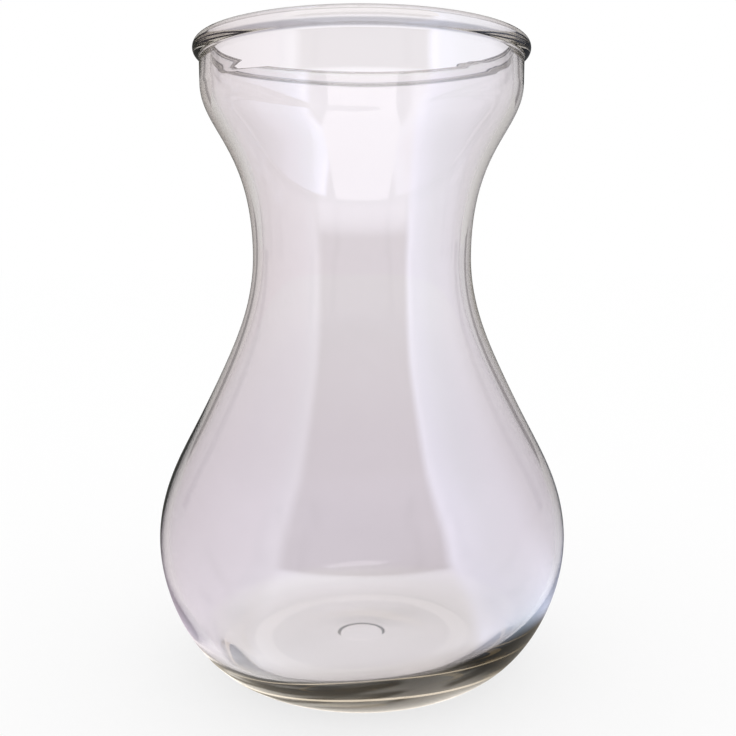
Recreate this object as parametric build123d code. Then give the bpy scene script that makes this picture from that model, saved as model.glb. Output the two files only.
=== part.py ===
from build123d import *
import os

os.makedirs("parts", exist_ok=True)

# Hyacinth forcing vase: one piece of pressed and blown glass.
# Millimetres, +Z up, origin at the centre of the ring that it stands on.
# The half section is drawn flat, as (radius, height), and turned once round the Z axis.

# Diameters of the outside, from below
foot_diameter = 53.6
belly_diameter = 96.0
neck_diameter = 50.6
collar_diameter = 73.0

# Heights of the stretches, each standing on the one before: the heel up to the widest
# part of the belly, the flank up to the narrowest part of the neck, the flaring cup,
# the straight collar, and the bead of the rim
heel_height = 31.9
flank_height = 65.9
cup_height = 37.9
collar_height = 5.8
rim_bead_height = 3.5

# Foot ring, and the shallow hollow inside it
foot_ring_width = 4.5
foot_hollow_depth = 1.6
foot_hollow_run = 6.0

# How far the heel's curve keeps flat at the foot and upright at the belly
heel_run = 11.4
heel_rise = 15.0

# How far the cup's curve keeps upright at the neck and at the collar
cup_rise_from_neck = 24.3
cup_rise_to_collar = 10.1

# Thickness of the glass, square to the outer surface
wall_at_belly = 2.0
wall_at_neck = 2.4
wall_at_collar = 2.2

# Floor of the inside, a little dished
floor_thickness = 6.5
floor_diameter = 58.0
floor_dish = 0.8

# Lip of the mouth, and how far its bead stands out past the collar
lip_width = 4.2
rim_stand = 1.4

# Round mark of the mould, in the middle of the underside
mark_diameter = 11.0
mark_depth = 0.5

# Points of the flank from belly to neck, as (share of height, share of radius)
flank_shares = ((0.2, 0.892), (0.4, 0.612), (0.6, 0.32), (0.8, 0.087))

# Where the inside wall is measured off the flank and the cup, as shares of their length
inside_shares = (0.0, 0.25, 0.5, 0.75, 1.0)

# Points of the inside of the heel, as (share of the heel's length from the foot, share of
# the wall at the belly): the glass grows thicker towards the floor
heel_wall_shares = ((0.4, 1.5), (0.55, 1.15), (0.75, 1.03))

# Radii and heights that follow from the sizes above
foot_radius = foot_diameter / 2
belly_radius = belly_diameter / 2
neck_radius = neck_diameter / 2
collar_radius = collar_diameter / 2
rim_radius = collar_radius + rim_stand
hollow_radius = foot_radius - foot_ring_width
floor_radius = floor_diameter / 2
mark_radius = mark_diameter / 2
mouth_radius = rim_radius - lip_width
mark_top = foot_hollow_depth + mark_depth
neck_level = heel_height + flank_height
cup_level = neck_level + cup_height
bead_bottom = cup_level + collar_height
bead_radius = rim_bead_height / 2
lip_inner_radius = lip_width - bead_radius
bead_middle = bead_bottom + bead_radius
total_height = bead_bottom + rim_bead_height

up = (0, 1)
outward = (1, 0)
inward = (-1, 0)

# Both ends of a smooth curve keep the pace of its points
even_pace = (1, 1)


def between(low, high, share):
    return low + (high - low) * share


def smooth(points, first, last):
    """A curve through the points that leaves along first and arrives along last."""
    return Spline(*points, tangents=(first, last), tangent_scalars=even_pace)


def outer_heel():
    """From the foot ring round the heel to the widest part of the belly."""
    return Bezier(
        (foot_radius, 0),
        (foot_radius + heel_run, 0),
        (belly_radius, heel_height - heel_rise),
        (belly_radius, heel_height),
    )


def outer_flank():
    """From the belly up to the narrowest part of the neck."""
    points = [(belly_radius, heel_height)]
    for height_share, radius_share in flank_shares:
        height = between(heel_height, neck_level, height_share)
        points.append((between(neck_radius, belly_radius, radius_share), height))
    points.append((neck_radius, neck_level))
    return smooth(points, up, up)


def outer_cup():
    """From the neck out to the straight collar: the cup that the bulb sits in."""
    return Bezier(
        (neck_radius, neck_level),
        (neck_radius, neck_level + cup_rise_from_neck),
        (collar_radius, cup_level - cup_rise_to_collar),
        (collar_radius, cup_level),
    )


def inside_point(outer, share, wall):
    """The point inside the outer curve, at a share of its length, by a thickness of glass."""
    place = outer @ share
    along = outer % share
    return (place.X - wall * along.Y, place.Y + wall * along.X)


def inside_of(outer, first_wall, last_wall):
    """A curve inside the outer one, by a thickness of glass that changes evenly."""
    points = []
    for share in inside_shares:
        wall = between(first_wall, last_wall, share)
        points.append(inside_point(outer, share, wall))
    return smooth(points, up, up)


def rim(cup_end):
    """The rounded bead from its crease on the collar, over the lip, and down to the cup."""
    crease = (collar_radius, bead_bottom)
    widest = (rim_radius, bead_middle)
    top = (rim_radius - bead_radius, total_height)
    mouth_level = total_height - lip_inner_radius
    bend_level = (mouth_level + cup_end.Y) / 2
    inside = Bezier(
        (mouth_radius, mouth_level),
        (mouth_radius, bend_level),
        (cup_end.X, bend_level),
        (cup_end.X, cup_end.Y),
    )
    return [
        ThreePointArc(crease, widest, top),
        TangentArc(top, (mouth_radius, mouth_level), tangent=inward),
        inside,
    ]


def inner_floor(heel, belly_inside):
    """The dished floor of the inside, and the curve that follows the heel up to the belly."""
    dish_edge = (floor_radius, floor_thickness + floor_dish)
    dish = TangentArc((0, floor_thickness), dish_edge, tangent=outward)
    points = [dish_edge]
    for length_share, wall_share in heel_wall_shares:
        points.append(inside_point(heel, length_share, wall_at_belly * wall_share))
    points.append((belly_inside.X, belly_inside.Y))
    return [smooth(points, dish % 1, up), dish]


def underside():
    """The foot ring, and the shallow hollow inside it with the round mark at its middle."""
    hollow_edge = (hollow_radius - foot_hollow_run, foot_hollow_depth)
    hollow_corner = (hollow_radius - foot_hollow_run / 2, foot_hollow_depth)
    return [
        Line((0, mark_top), (mark_radius, mark_top)),
        Line((mark_radius, mark_top), (mark_radius, foot_hollow_depth)),
        Line((mark_radius, foot_hollow_depth), hollow_edge),
        Bezier(hollow_edge, hollow_corner, (hollow_radius, 0)),
        Line((hollow_radius, 0), (foot_radius, 0)),
    ]


def glass_vase():
    """The whole vase: its closed half section, turned once round the axis."""
    heel = outer_heel()
    flank = outer_flank()
    cup = outer_cup()
    flank_inside = inside_of(flank, wall_at_belly, wall_at_neck)
    cup_inside = inside_of(cup, wall_at_neck, wall_at_collar)

    outline = underside()
    outline += [heel, flank, cup]
    outline += [Line((collar_radius, cup_level), (collar_radius, bead_bottom))]
    outline += rim(cup_inside @ 1)
    outline += [cup_inside, flank_inside]
    outline += inner_floor(heel, flank_inside @ 0)
    outline += [Line((0, floor_thickness), (0, mark_top))]

    section = Plane.XZ * make_face(Wire(outline))
    return revolve(section, axis=Axis.Z, revolution_arc=360)


export_step(glass_vase(), "parts/glass_vase.step")
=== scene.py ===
import math

import bpy
import numpy as np
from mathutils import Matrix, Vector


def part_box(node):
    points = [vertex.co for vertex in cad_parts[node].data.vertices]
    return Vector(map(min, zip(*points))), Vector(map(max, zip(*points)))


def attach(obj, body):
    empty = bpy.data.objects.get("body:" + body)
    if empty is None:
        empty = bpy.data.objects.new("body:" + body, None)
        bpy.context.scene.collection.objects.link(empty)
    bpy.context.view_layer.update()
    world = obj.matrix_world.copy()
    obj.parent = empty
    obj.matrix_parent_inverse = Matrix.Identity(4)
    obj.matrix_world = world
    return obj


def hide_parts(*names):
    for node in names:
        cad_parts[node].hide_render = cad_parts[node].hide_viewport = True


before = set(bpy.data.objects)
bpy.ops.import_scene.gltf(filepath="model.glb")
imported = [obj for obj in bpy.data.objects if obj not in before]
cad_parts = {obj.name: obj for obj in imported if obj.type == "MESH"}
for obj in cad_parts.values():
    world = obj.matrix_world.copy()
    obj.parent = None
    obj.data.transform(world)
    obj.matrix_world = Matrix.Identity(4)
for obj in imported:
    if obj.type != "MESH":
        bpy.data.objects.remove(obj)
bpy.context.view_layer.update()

high_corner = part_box("glass_vase")[1]

# Sizes in metres, with the overall ones read from the frame
TOTAL_HEIGHT = high_corner.z
BELLY_RADIUS = min(high_corner.x, high_corner.y)
HEEL_HEIGHT = 0.0319
FLANK_HEIGHT = 0.0659
CUP_HEIGHT = 0.0379
RIM_BEAD_HEIGHT = 0.0039
NECK_RADIUS = 0.0253
COLLAR_RADIUS = 0.0365
RIM_STAND = 0.0014
LIP_WIDTH = 0.0037
LIP_INNER_RADIUS = 0.0006
FOOT_RADIUS = 0.0268
FOOT_RING_WIDTH = 0.0045
FOOT_HOLLOW_DEPTH = 0.0008
HEEL_RUN = 0.0114
HEEL_RISE = 0.015
CUP_RISE_FROM_NECK = 0.0243
CUP_RISE_TO_COLLAR = 0.0101
MARK_RADIUS = 0.0055
MARK_DEPTH = 0.0005
MARK_SOFTNESS = 0.0010
WALL_AT_BELLY = 0.002
WALL_AT_NECK = 0.0024
WALL_AT_COLLAR = 0.0022
FLOOR_THICKNESS = 0.0065

# Points of the flank from belly to neck, as (share of height, share of radius)
FLANK_SHARES = ((0.2, 0.892), (0.4, 0.612), (0.6, 0.32), (0.8, 0.087))

# The glass of the heel isn't even: on its heavy side and on its thin side, the radius and
# the rise of the floor's edge, and the wall at shares of the heel's length from the foot
HEAVY_SIDE = (0.029, 0.0010, ((0.4, 0.0035), (0.55, 0.0026), (0.75, 0.0021)))
THIN_SIDE = (0.030, -0.0006, ((0.36, 0.0024), (0.5, 0.00215), (0.75, 0.002)))

# Where the heavy side lies, and how gently it passes into the thin one
HEAVY_DEGREES = -20.0
HEAVY_REACH = 0.6

# Gentle ripples of the inside: their height, their (waves in a turn, rise in a radian,
# strength), and the radius within which there are none
RIPPLE_HEIGHT = 0.00006
RIPPLES = ((3, 0.017, 1.0), (5, -0.011, 0.6))
RIPPLE_FREE_RADIUS = 0.01

# How finely the mesh follows the form
SEGMENTS = 184
STEPS_LONG = 56
STEPS_SHORT = 14
STEPS_COLLAR = 7
STEPS_FLAT = 4

# The glass: a faint tint by height, pale at the floor, darkest at the belly and paler towards the rim, and
# how uneven the tint's levels are
GLASS_IOR = 1.5
TINTS = (
    (0.0, (1.0, 0.99, 1.0, 1.0)),
    (0.0069, (1.0, 0.99, 1.0, 1.0)),
    (0.0088, (0.915, 0.885, 0.94, 1.0)),
    (0.045, (0.903, 0.87, 0.925, 1.0)),
    (0.085, (0.965, 0.943, 0.985, 1.0)),
    (0.115, (0.972, 0.955, 0.99, 1.0)),
    (0.136, (0.985, 0.97, 1.0, 1.0)),
)
TINT_UNEVENNESS = 0.003

# What a metre of the glass takes out of the light, and the faint waves of its surface
ABSORB_DENSITY = 65.0
ABSORB_COLOUR = (0.28, 0.22, 0.07, 1.0)
WAVE_SCALE = 22.0
WAVE_STRENGTH = 0.03
WAVE_DISTANCE = 0.0008

# The studio, as seen straight through the glass: white, faintly tinted from left to right,
# with a grey ceiling. The edges are a direction's x for the tint and its z for the ceiling
WHITE = (1.0, 1.0, 1.0, 1.0)
LEFT_TINT = (1.0, 0.965, 0.975, 1.0)
RIGHT_TINT = (0.975, 0.97, 1.0, 1.0)
TINT_EDGES = (-0.5, 0.5)
CEILING_COLOUR = (0.5, 0.49, 0.53, 1.0)
CEILING_EDGES = (0.35, 0.5)

# Slim greyer posts in it, at these degrees both ways from each axis, with edges that fade
# between these degrees from the post's middle; directions fold halfway between two axes
POST_COLOUR = (0.45, 0.43, 0.45, 1.0)
POST_DEGREES = 32.0
POST_EDGES = (1.2, 4.8)
FOLD_DEGREES = 45.0

# The studio, as mirrored by the glass: (degrees round from the camera, colour) of its walls
MIRROR_STRENGTH = 6.0
WALLS = (
    (-180.0, (0.014, 0.014, 0.013, 1.0)),
    (-140.0, (0.014, 0.014, 0.013, 1.0)),
    (-100.0, (0.15, 0.13, 0.15, 1.0)),
    (-62.0, (0.31, 0.29, 0.335, 1.0)),
    (-51.0, (0.38, 0.39, 0.44, 1.0)),
    (-46.0, (0.45, 0.46, 0.50, 1.0)),
    (-39.0, (0.06, 0.045, 0.05, 1.0)),
    (43.0, (0.06, 0.045, 0.05, 1.0)),
    (49.0, (0.75, 0.80, 1.0, 1.0)),
    (56.0, (0.55, 0.62, 0.80, 1.0)),
    (72.0, (0.36, 0.43, 0.53, 1.0)),
    (95.0, (0.30, 0.32, 0.40, 1.0)),
    (112.0, (0.125, 0.13, 0.16, 1.0)),
    (140.0, (0.014, 0.015, 0.018, 1.0)),
    (180.0, (0.014, 0.014, 0.013, 1.0)),
)

# Which of these make the front wall, and its darker colour, which fades out upwards where a
# direction's z passes from the one of these values to the other
FRONT_STOPS = (6, 7)
DARK_FRONT = (0.005, 0.004, 0.004, 1.0)
DARK_BELOW = (0.5, 0.66)

# Painted reflection of a pale front on the floor, which fades out between these distances from the axis
PAINTED_REFLECTION_FRONT = (0.68, 0.70, 0.77, 1.0)
PAINTED_REFLECTION_EDGES = (0.36, 1.2)

# Painted shade on the floor close to the foot, which ends between these distances from its middle
SHADE_MIDDLE_X = 0.007
SHADE_EDGES = (0.044, 0.058)
SHADE_COLOUR = (0.11, 0.10, 0.085, 1.0)

# Fine lighter streaks of painted reflection in it, round the axis
STREAK_COLOUR = (0.30, 0.28, 0.25, 1.0)
STREAK_FINENESS = 330.0
STREAK_DEGREES = 45.0
STREAK_EDGES = (0.43, 0.61)

# Paler painted shade in it, a strip on the right and the middle under the foot, and over both of them
# # a darker painted shade further right
PALE_SHADE = (0.27, 0.25, 0.225, 1.0)
PALE_FROM_X = (0.009, 0.014)
PALE_TO_X = (0.019, 0.024)
PALE_BELOW_FOOT = (0.035, 0.0375)
RIGHT_SHADE = (0.04, 0.037, 0.032, 1.0)
RIGHT_SHADE_FROM = (0.02, 0.036)

# The bright card above the mouth, a painted reflection that only the glass mirrors
CARD_CORNERS = (
    (-0.038, -0.055, 0.148),
    (0.038, -0.055, 0.148),
    (0.11, -0.055, 0.42),
    (-0.11, -0.055, 0.42),
)
CARD_STRENGTH = 3.0

# The floor: how much of it is plain white to the camera, the rest taking the shadow
FLOOR_SIZE = 6.0
FLOOR_COLOUR = (0.99, 0.99, 0.99, 1.0)
FLOOR_WHITE_SHARE = 0.75

# Where the photograph was taken from
CAMERA_PLACE = (0.0014, -0.2156, 0.1002)
CAMERA_PITCH_DEGREES = 7.7
CAMERA_LENS_MM = 44.78
CAMERA_REACH = (0.01, 50.0)
SENSOR_MM = 36.0

# How often light may be bent and mirrored on its way
GLASS_BOUNCES = 24
GLOSSY_BOUNCES = 12
DIFFUSE_BOUNCES = 4

# Radii and levels that follow from the sizes above
NECK_LEVEL = HEEL_HEIGHT + FLANK_HEIGHT
CUP_LEVEL = NECK_LEVEL + CUP_HEIGHT
BEAD_RADIUS = RIM_BEAD_HEIGHT / 2
BEAD_BOTTOM = TOTAL_HEIGHT - RIM_BEAD_HEIGHT
RIM_RADIUS = COLLAR_RADIUS + RIM_STAND
MOUTH_RADIUS = RIM_RADIUS - LIP_WIDTH
HOLLOW_RADIUS = FOOT_RADIUS - FOOT_RING_WIDTH

UP = (0.0, 1.0)
OUTWARD = (1.0, 0.0)


def soft(share):
    """The share from 0 to 1, softened at both ends."""
    return share * share * (3 - 2 * share)


def bezier(points, steps):
    """Points along the Bezier curve of four points, the first and the last included."""
    t = np.linspace(0.0, 1.0, steps + 1)[:, None]
    rest = 1.0 - t
    p = np.array(points, float)
    return rest**3 * p[0] + 3 * rest**2 * t * p[1] + 3 * rest * t**2 * p[2] + t**3 * p[3]


def arc(centre, radius, first_degrees, last_degrees, steps):
    """Points along an arc."""
    angles = np.radians(np.linspace(first_degrees, last_degrees, steps + 1))
    return np.column_stack((centre[0] + radius * np.cos(angles), centre[1] + radius * np.sin(angles)))


def smooth(points, first, last, steps):
    """Points along the cubic spline through the points that leaves along first and arrives along last."""
    p = np.array(points, float)
    count = len(p)
    gap = np.hypot(*np.diff(p, axis=0).T)
    matrix = np.eye(count)
    wanted = np.zeros((count, 2))
    wanted[0], wanted[-1] = first, last
    for i in range(1, count - 1):
        matrix[i, i - 1 : i + 2] = gap[i], 2 * (gap[i - 1] + gap[i]), gap[i - 1]
        wanted[i] = 3 * (gap[i] * (p[i] - p[i - 1]) / gap[i - 1] + gap[i - 1] * (p[i + 1] - p[i]) / gap[i])
    slope = np.linalg.solve(matrix, wanted)
    reach = np.concatenate(((0.0,), np.cumsum(gap)))
    places = np.linspace(0.0, reach[-1], steps + 1)
    cell = np.clip(np.searchsorted(reach, places, side="right") - 1, 0, count - 2)
    t = ((places - reach[cell]) / gap[cell])[:, None]
    from_low = p[cell] * (1 + 2 * t) * (1 - t) ** 2 + slope[cell] * gap[cell][:, None] * t * (1 - t) ** 2
    from_high = p[cell + 1] * t**2 * (3 - 2 * t) - slope[cell + 1] * gap[cell][:, None] * t**2 * (1 - t)
    return from_low + from_high


def inside_of(outer, walls):
    """The line inside the outer one, by these thicknesses of glass."""
    along = np.gradient(outer, axis=0)
    along /= np.linalg.norm(along, axis=1)[:, None]
    return outer + np.asarray(walls)[:, None] * np.column_stack((-along[:, 1], along[:, 0]))


def underside():
    """The soft hollow under the foot with the mark of the mould, and the flat ring round it."""
    radii = np.linspace(0.0, HOLLOW_RADIUS, 2 * STEPS_LONG + 1)
    heights = FOOT_HOLLOW_DEPTH * (1 + np.cos(math.pi * radii / HOLLOW_RADIUS)) / 2
    on_mark = np.clip((MARK_RADIUS - radii) / MARK_SOFTNESS + 0.5, 0.0, 1.0)
    heights += MARK_DEPTH * soft(on_mark)
    ring = np.linspace((HOLLOW_RADIUS, 0), (FOOT_RADIUS, 0), STEPS_FLAT + 1)
    return [np.column_stack((radii, heights)), ring]


def outer_heel():
    """From the foot ring round the heel to the widest part of the belly."""
    return bezier(((FOOT_RADIUS, 0), (FOOT_RADIUS + HEEL_RUN, 0), (BELLY_RADIUS, HEEL_HEIGHT - HEEL_RISE),
                   (BELLY_RADIUS, HEEL_HEIGHT)), STEPS_LONG)


def outer_flank():
    """From the belly up to the narrowest part of the neck."""
    points = [(BELLY_RADIUS, HEEL_HEIGHT)]
    for height_share, radius_share in FLANK_SHARES:
        radius = NECK_RADIUS + (BELLY_RADIUS - NECK_RADIUS) * radius_share
        points.append((radius, HEEL_HEIGHT + FLANK_HEIGHT * height_share))
    points.append((NECK_RADIUS, NECK_LEVEL))
    return smooth(points, UP, UP, STEPS_LONG)


def outer_cup():
    """From the neck out to the straight collar."""
    return bezier(((NECK_RADIUS, NECK_LEVEL), (NECK_RADIUS, NECK_LEVEL + CUP_RISE_FROM_NECK),
                   (COLLAR_RADIUS, CUP_LEVEL - CUP_RISE_TO_COLLAR), (COLLAR_RADIUS, CUP_LEVEL)), STEPS_LONG)


def rim(cup_end):
    """Up the collar, round the bead, over the lip, and down to the inside of the cup."""
    bead_centre = (RIM_RADIUS - BEAD_RADIUS, BEAD_BOTTOM + BEAD_RADIUS)
    crease_degrees = -math.degrees(math.acos((COLLAR_RADIUS - bead_centre[0]) / BEAD_RADIUS))
    lip_centre = (MOUTH_RADIUS + LIP_INNER_RADIUS, TOTAL_HEIGHT - LIP_INNER_RADIUS)
    bend = (lip_centre[1] - cup_end[1]) / 2
    below_lip = ((MOUTH_RADIUS, lip_centre[1]), (MOUTH_RADIUS, lip_centre[1] - bend),
                 (cup_end[0], cup_end[1] + bend), cup_end)
    return [
        np.linspace((COLLAR_RADIUS, CUP_LEVEL), (COLLAR_RADIUS, BEAD_BOTTOM), STEPS_COLLAR + 1),
        arc(bead_centre, BEAD_RADIUS, crease_degrees, 90, 2 * STEPS_SHORT),
        np.linspace((bead_centre[0], TOTAL_HEIGHT), (lip_centre[0], TOTAL_HEIGHT), STEPS_FLAT + 1),
        arc(lip_centre, LIP_INNER_RADIUS, 90, 180, STEPS_SHORT),
        bezier(below_lip, STEPS_SHORT),
    ]


def inner_heel(heel, belly_inside, side):
    """From the edge of the inner floor round the inside of the heel to the belly."""
    floor_radius, floor_rise, walls = side
    reach = np.concatenate(((0.0,), np.cumsum(np.hypot(*np.diff(heel, axis=0).T))))
    points = [(floor_radius, FLOOR_THICKNESS + floor_rise)]
    for share, wall in walls:
        near = int(np.searchsorted(reach, share * reach[-1]))
        points.append(tuple(inside_of(heel, np.full(len(heel), wall))[near]))
    points.append(tuple(belly_inside))
    return smooth(points, OUTWARD, UP, STEPS_LONG)


def half_section(side):
    """The closed half section as (radius, height), from the underside round to the inner floor,
    with the number of its points that lie outside or on the rim."""
    heel = outer_heel()
    flank = outer_flank()
    cup = outer_cup()
    flank_inside = inside_of(flank, np.linspace(WALL_AT_BELLY, WALL_AT_NECK, len(flank)))
    cup_inside = inside_of(cup, np.linspace(WALL_AT_NECK, WALL_AT_COLLAR, len(cup)))
    corner = inner_heel(heel, flank_inside[0], side)
    across = np.linspace(0.0, 1.0, STEPS_SHORT + 1)
    dish = np.column_stack((across * corner[0][0], FLOOR_THICKNESS + across**2 * side[1]))

    outside = underside() + [heel, flank, cup] + rim(tuple(cup_inside[-1]))
    inside = [cup_inside[::-1], flank_inside[::-1], corner[::-1], dish[::-1]]
    outside = np.concatenate([outside[0]] + [line[1:] for line in outside[1:]])
    inside = np.concatenate([line[1:] for line in inside])
    return np.concatenate((outside, inside)), len(outside)


def add_object(name, data):
    """An object with this data, put into the scene."""
    obj = bpy.data.objects.new(name, data)
    bpy.context.scene.collection.objects.link(obj)
    return obj


def turned_mesh(name):
    """The vase as one closed mesh: its half section turned round Z, with the heel's glass heavier
    on one side and the inside a little rippled."""
    heavy, first_inside = half_section(HEAVY_SIDE)
    thin = half_section(THIN_SIDE)[0]
    angles = np.arange(SEGMENTS) * 2 * math.pi / SEGMENTS
    share = soft(np.clip((np.cos(angles - math.radians(HEAVY_DEGREES)) / HEAVY_REACH + 1) / 2, 0, 1))
    rings = heavy[1:-1, None, :] * share[None, :, None] + thin[1:-1, None, :] * (1 - share)[None, :, None]
    radius, height = rings[..., 0], rings[..., 1]
    is_inside = (np.arange(1, len(heavy) - 1) >= first_inside)[:, None]
    ripple = sum(strength * np.sin(waves * angles + height / rise) for waves, rise, strength in RIPPLES)
    fade = np.clip(radius / RIPPLE_FREE_RADIUS - 1, 0, 1)
    radius = radius + is_inside * fade * RIPPLE_HEIGHT * ripple
    x = (radius * np.cos(angles)).ravel()
    y = (radius * np.sin(angles)).ravel()
    points = [(0.0, 0.0, heavy[0][1])]
    points += list(zip(x.tolist(), y.tolist(), height.ravel().tolist()))
    points.append((0.0, 0.0, heavy[-1][1]))
    last = len(points) - 1
    top = last - SEGMENTS
    faces = []
    for k in range(SEGMENTS):
        after = (k + 1) % SEGMENTS
        faces.append((0, 1 + after, 1 + k))
        faces.append((last, top + k, top + after))
        for base in range(1, top, SEGMENTS):
            faces.append((base + k, base + after, base + SEGMENTS + after, base + SEGMENTS + k))
    mesh = bpy.data.meshes.new(name)
    mesh.from_pydata(points, [], faces)
    mesh.validate()
    mesh.shade_smooth()
    return add_object(name, mesh)


class Nodes:
    """A node tree with short ways to add the nodes used here."""

    def __init__(self, tree):
        self.tree = tree
        tree.nodes.clear()

    def add(self, kind, **inputs):
        """A node of this kind; an input is a value or the socket that feeds it."""
        node = self.tree.nodes.new(kind)
        for name, value in inputs.items():
            self.feed(node, name.replace("_", " "), value)
        return node

    def feed(self, node, name, value):
        """Give an input of the node a value, or the socket that feeds it."""
        if isinstance(value, bpy.types.NodeSocket):
            self.tree.links.new(value, node.inputs[name])
        else:
            node.inputs[name].default_value = value

    def calc(self, operation, *values):
        """The result of a maths node."""
        node = self.tree.nodes.new("ShaderNodeMath")
        node.operation = operation
        for slot, value in enumerate(values):
            self.feed(node, slot, value)
        return node.outputs[0]

    def step(self, value, low, high):
        """A soft step from 0 below low to 1 above high."""
        node = self.add("ShaderNodeMapRange", Value=value, From_Min=low, From_Max=high)
        node.interpolation_type = "SMOOTHSTEP"
        return node.outputs["Result"]

    def mix(self, share, first, second):
        """Colours mixed by share."""
        node = self.tree.nodes.new("ShaderNodeMix")
        node.data_type = "RGBA"
        self.feed(node, "Factor", share)
        for name, value in (("A", first), ("B", second)):
            self.feed(node, name, value)
        return node.outputs["Result"]

    def mix_shaders(self, share, first, second):
        """Shaders mixed by share."""
        node = self.tree.nodes.new("ShaderNodeMixShader")
        for slot, value in enumerate((share, first, second)):
            self.feed(node, slot, value)
        return node.outputs[0]

    def glow(self, colour, strength):
        """A shader that gives off light."""
        return self.add("ShaderNodeEmission", Color=colour, Strength=strength).outputs["Emission"]

    def ramp(self, value, colours):
        """A colour by value, from (place, colour) pairs."""
        node = self.add("ShaderNodeValToRGB", Fac=value)
        stops = node.color_ramp.elements
        while len(stops) < len(colours):
            stops.new(1.0)
        for stop, (place, colour) in zip(stops, colours):
            stop.position = place
            stop.color = colour
        return node.outputs["Color"]

    def light_path(self):
        """Shares of the camera's own rays, of what glass mirrors, and of what it lets through."""
        paths = self.tree.nodes.new("ShaderNodeLightPath").outputs
        through = paths["Is Transmission Ray"]
        mirrored = self.calc("MULTIPLY", paths["Is Glossy Ray"], self.calc("SUBTRACT", 1.0, through))
        return paths["Is Camera Ray"], mirrored, through

    def distance(self, x, y):
        """The length of x and y together."""
        squares = self.calc("MULTIPLY", x, x), self.calc("MULTIPLY", y, y)
        return self.calc("SQRT", self.calc("ADD", *squares))

    def degrees_round(self, x, y):
        """The degrees round the axis from the camera's side."""
        return self.calc("DEGREES", self.calc("ARCTAN2", x, self.calc("MULTIPLY", y, -1.0)))

    def walls(self, x, y, front=None):
        """The mirrored walls of the studio by direction, with a front of this colour if it is given."""
        degrees = self.degrees_round(x, y)
        colours = [(place / 360 + 0.5, front if front and i in FRONT_STOPS else colour)
                   for i, (place, colour) in enumerate(WALLS)]
        return self.ramp(self.calc("MULTIPLY_ADD", degrees, 1 / 360, 0.5), colours)


def new_material(name):
    """A material with an empty node tree."""
    material = bpy.data.materials.new(name)
    material.use_nodes = True
    return material, Nodes(material.node_tree)


def glass_material():
    """Clear glass: faintly uneven tint and surface, and olive where it is thick."""
    material, nodes = new_material("clear_glass")
    place = nodes.add("ShaderNodeTexCoord").outputs["Object"]
    noise = nodes.add("ShaderNodeTexNoise", Vector=place, Scale=WAVE_SCALE, Detail=1.0).outputs["Fac"]
    bump = nodes.add("ShaderNodeBump", Strength=WAVE_STRENGTH, Distance=WAVE_DISTANCE, Height=noise)
    shader = nodes.add("ShaderNodeBsdfPrincipled", Transmission_Weight=1.0, Roughness=0.0, IOR=GLASS_IOR)
    height = nodes.add("ShaderNodeSeparateXYZ", Vector=place).outputs["Z"]
    uneven = nodes.calc("MULTIPLY_ADD", noise, TINT_UNEVENNESS, -TINT_UNEVENNESS / 2)
    share = nodes.calc("DIVIDE", nodes.calc("ADD", height, uneven), TOTAL_HEIGHT)
    tints = [(level / TOTAL_HEIGHT, colour) for level, colour in TINTS]
    nodes.feed(shader, "Base Color", nodes.ramp(share, tints))
    nodes.feed(shader, "Normal", bump.outputs["Normal"])
    absorb = nodes.add("ShaderNodeVolumeAbsorption", Density=ABSORB_DENSITY, Color=ABSORB_COLOUR)
    nodes.add("ShaderNodeOutputMaterial", Surface=shader.outputs["BSDF"], Volume=absorb.outputs["Volume"])
    return material


def sheet(name, corners, material):
    """A flat sheet of the studio."""
    mesh = bpy.data.meshes.new(name)
    mesh.from_pydata(corners, [], [(0, 1, 2, 3)])
    mesh.materials.append(material)
    obj = add_object(name, mesh)
    return obj


def floor_shade(nodes, x, y, near):
    """The colour of the painted shade on the floor close to the foot, as the glass mirrors it."""
    turn = nodes.calc("DIVIDE", nodes.degrees_round(x, y), STREAK_DEGREES)
    outward = nodes.calc("MULTIPLY", near, STREAK_FINENESS)
    place = nodes.add("ShaderNodeCombineXYZ", X=turn, Y=outward).outputs[0]
    streaks = nodes.add("ShaderNodeTexNoise", Vector=place, Scale=1.0, Detail=1.0).outputs["Fac"]
    shade = nodes.mix(nodes.step(streaks, *STREAK_EDGES), SHADE_COLOUR, STREAK_COLOUR)
    pale = nodes.calc("SUBTRACT", nodes.step(x, *PALE_FROM_X), nodes.step(x, *PALE_TO_X))
    shade = nodes.mix(pale, shade, PALE_SHADE)
    shade = nodes.mix(nodes.step(near, *PALE_BELOW_FOOT), PALE_SHADE, shade)
    return nodes.mix(nodes.step(x, *RIGHT_SHADE_FROM), shade, RIGHT_SHADE)


def floor():
    """A plain pale floor: it takes the shadow and shows white through the glass. Where the glass mirrors
    it, it glows with painted reflections and a painted shade close to the foot."""
    material, nodes = new_material("pale_floor")
    place = nodes.add("ShaderNodeNewGeometry").outputs["Position"]
    x, y = nodes.add("ShaderNodeSeparateXYZ", Vector=place).outputs[:2]
    # Painted reflection and painted shade, shown only where the glass mirrors the floor
    off_painted_reflection = nodes.step(nodes.distance(x, y), *PAINTED_REFLECTION_EDGES)
    mirror = nodes.mix(off_painted_reflection, nodes.walls(x, y, PAINTED_REFLECTION_FRONT), nodes.walls(x, y, DARK_FRONT))
    near = nodes.distance(nodes.calc("SUBTRACT", x, SHADE_MIDDLE_X), y)
    mirror = nodes.mix(nodes.step(near, *SHADE_EDGES), floor_shade(nodes, x, y, near), mirror)
    by_camera, mirrored, through = nodes.light_path()
    diffuse = nodes.add("ShaderNodeBsdfDiffuse", Color=FLOOR_COLOUR).outputs["BSDF"]
    white_share = nodes.calc("MAXIMUM", nodes.calc("MULTIPLY", by_camera, FLOOR_WHITE_SHARE), through)
    plain = nodes.mix_shaders(white_share, diffuse, nodes.glow(WHITE, 1.0))
    shown = nodes.mix_shaders(mirrored, plain, nodes.glow(mirror, MIRROR_STRENGTH))
    nodes.add("ShaderNodeOutputMaterial", Surface=shown)
    half = FLOOR_SIZE / 2
    sheet("floor", [(-half, -half, 0), (half, -half, 0), (half, half, 0), (-half, half, 0)], material)


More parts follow.
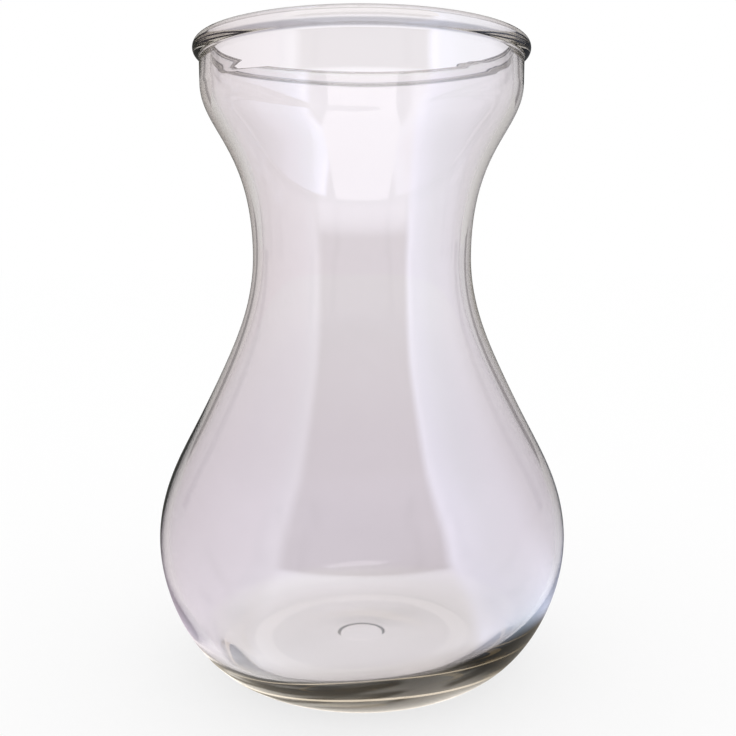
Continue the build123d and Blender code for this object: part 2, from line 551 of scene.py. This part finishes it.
def card():
    """A bright card above the mouth, a painted reflection: it glows only for what the inside of the cup
    mirrors.
    """
    material, nodes = new_material("bright_card")
    mirrored = nodes.light_path()[1]
    clear = nodes.add("ShaderNodeBsdfTransparent").outputs["BSDF"]
    shown = nodes.mix_shaders(mirrored, clear, nodes.glow(WHITE, CARD_STRENGTH))
    nodes.add("ShaderNodeOutputMaterial", Surface=shown)
    obj = sheet("card", list(CARD_CORNERS), material)
    obj.visible_camera = False
    obj.visible_diffuse = False
    obj.visible_shadow = False


def studio_world():
    """White to the camera; the glass mirrors soft walls, and through it the posts show."""
    world = bpy.data.worlds.new("studio")
    bpy.context.scene.world = world
    world.use_nodes = True
    nodes = Nodes(world.node_tree)
    place = nodes.add("ShaderNodeTexCoord").outputs["Generated"]
    x, y, z = nodes.add("ShaderNodeSeparateXYZ", Vector=place).outputs
    degrees = nodes.calc("DEGREES", nodes.calc("ARCTAN2", x, y))
    from_axis = nodes.calc("PINGPONG", degrees, FOLD_DEGREES)
    off_post = nodes.calc("ABSOLUTE", nodes.calc("SUBTRACT", from_axis, POST_DEGREES))
    tint = nodes.mix(nodes.step(x, *TINT_EDGES), LEFT_TINT, RIGHT_TINT)
    seen = nodes.mix(nodes.step(off_post, *POST_EDGES), POST_COLOUR, tint)
    seen = nodes.mix(nodes.step(z, *CEILING_EDGES), seen, CEILING_COLOUR)
    mirror = nodes.mix(nodes.step(z, *DARK_BELOW), nodes.walls(x, y, DARK_FRONT), nodes.walls(x, y))
    mirrored, through = nodes.light_path()[1:]
    colour = nodes.mix(mirrored, nodes.mix(through, WHITE, seen), mirror)
    strength = nodes.calc("MULTIPLY_ADD", mirrored, MIRROR_STRENGTH - 1.0, 1.0)
    background = nodes.add("ShaderNodeBackground", Color=colour, Strength=strength)
    nodes.add("ShaderNodeOutputWorld", Surface=background.outputs["Background"])


def camera():
    """The photograph's viewpoint, in front and a little above the waist."""
    data = bpy.data.cameras.new("camera")
    data.lens = CAMERA_LENS_MM
    data.sensor_width = SENSOR_MM
    data.clip_start, data.clip_end = CAMERA_REACH
    obj = add_object("camera", data)
    obj.location = CAMERA_PLACE
    obj.rotation_euler = (math.radians(90 - CAMERA_PITCH_DEGREES), 0, 0)
    bpy.context.scene.camera = obj


vase = turned_mesh("vase_glass")
vase.data.materials.append(glass_material())
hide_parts("glass_vase")
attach(vase, "root")

floor()
card()
studio_world()
camera()

scene = bpy.context.scene
scene.view_settings.view_transform = "Standard"
scene.cycles.max_bounces = GLASS_BOUNCES
scene.cycles.transmission_bounces = GLASS_BOUNCES
scene.cycles.glossy_bounces = GLOSSY_BOUNCES
scene.cycles.diffuse_bounces = DIFFUSE_BOUNCES
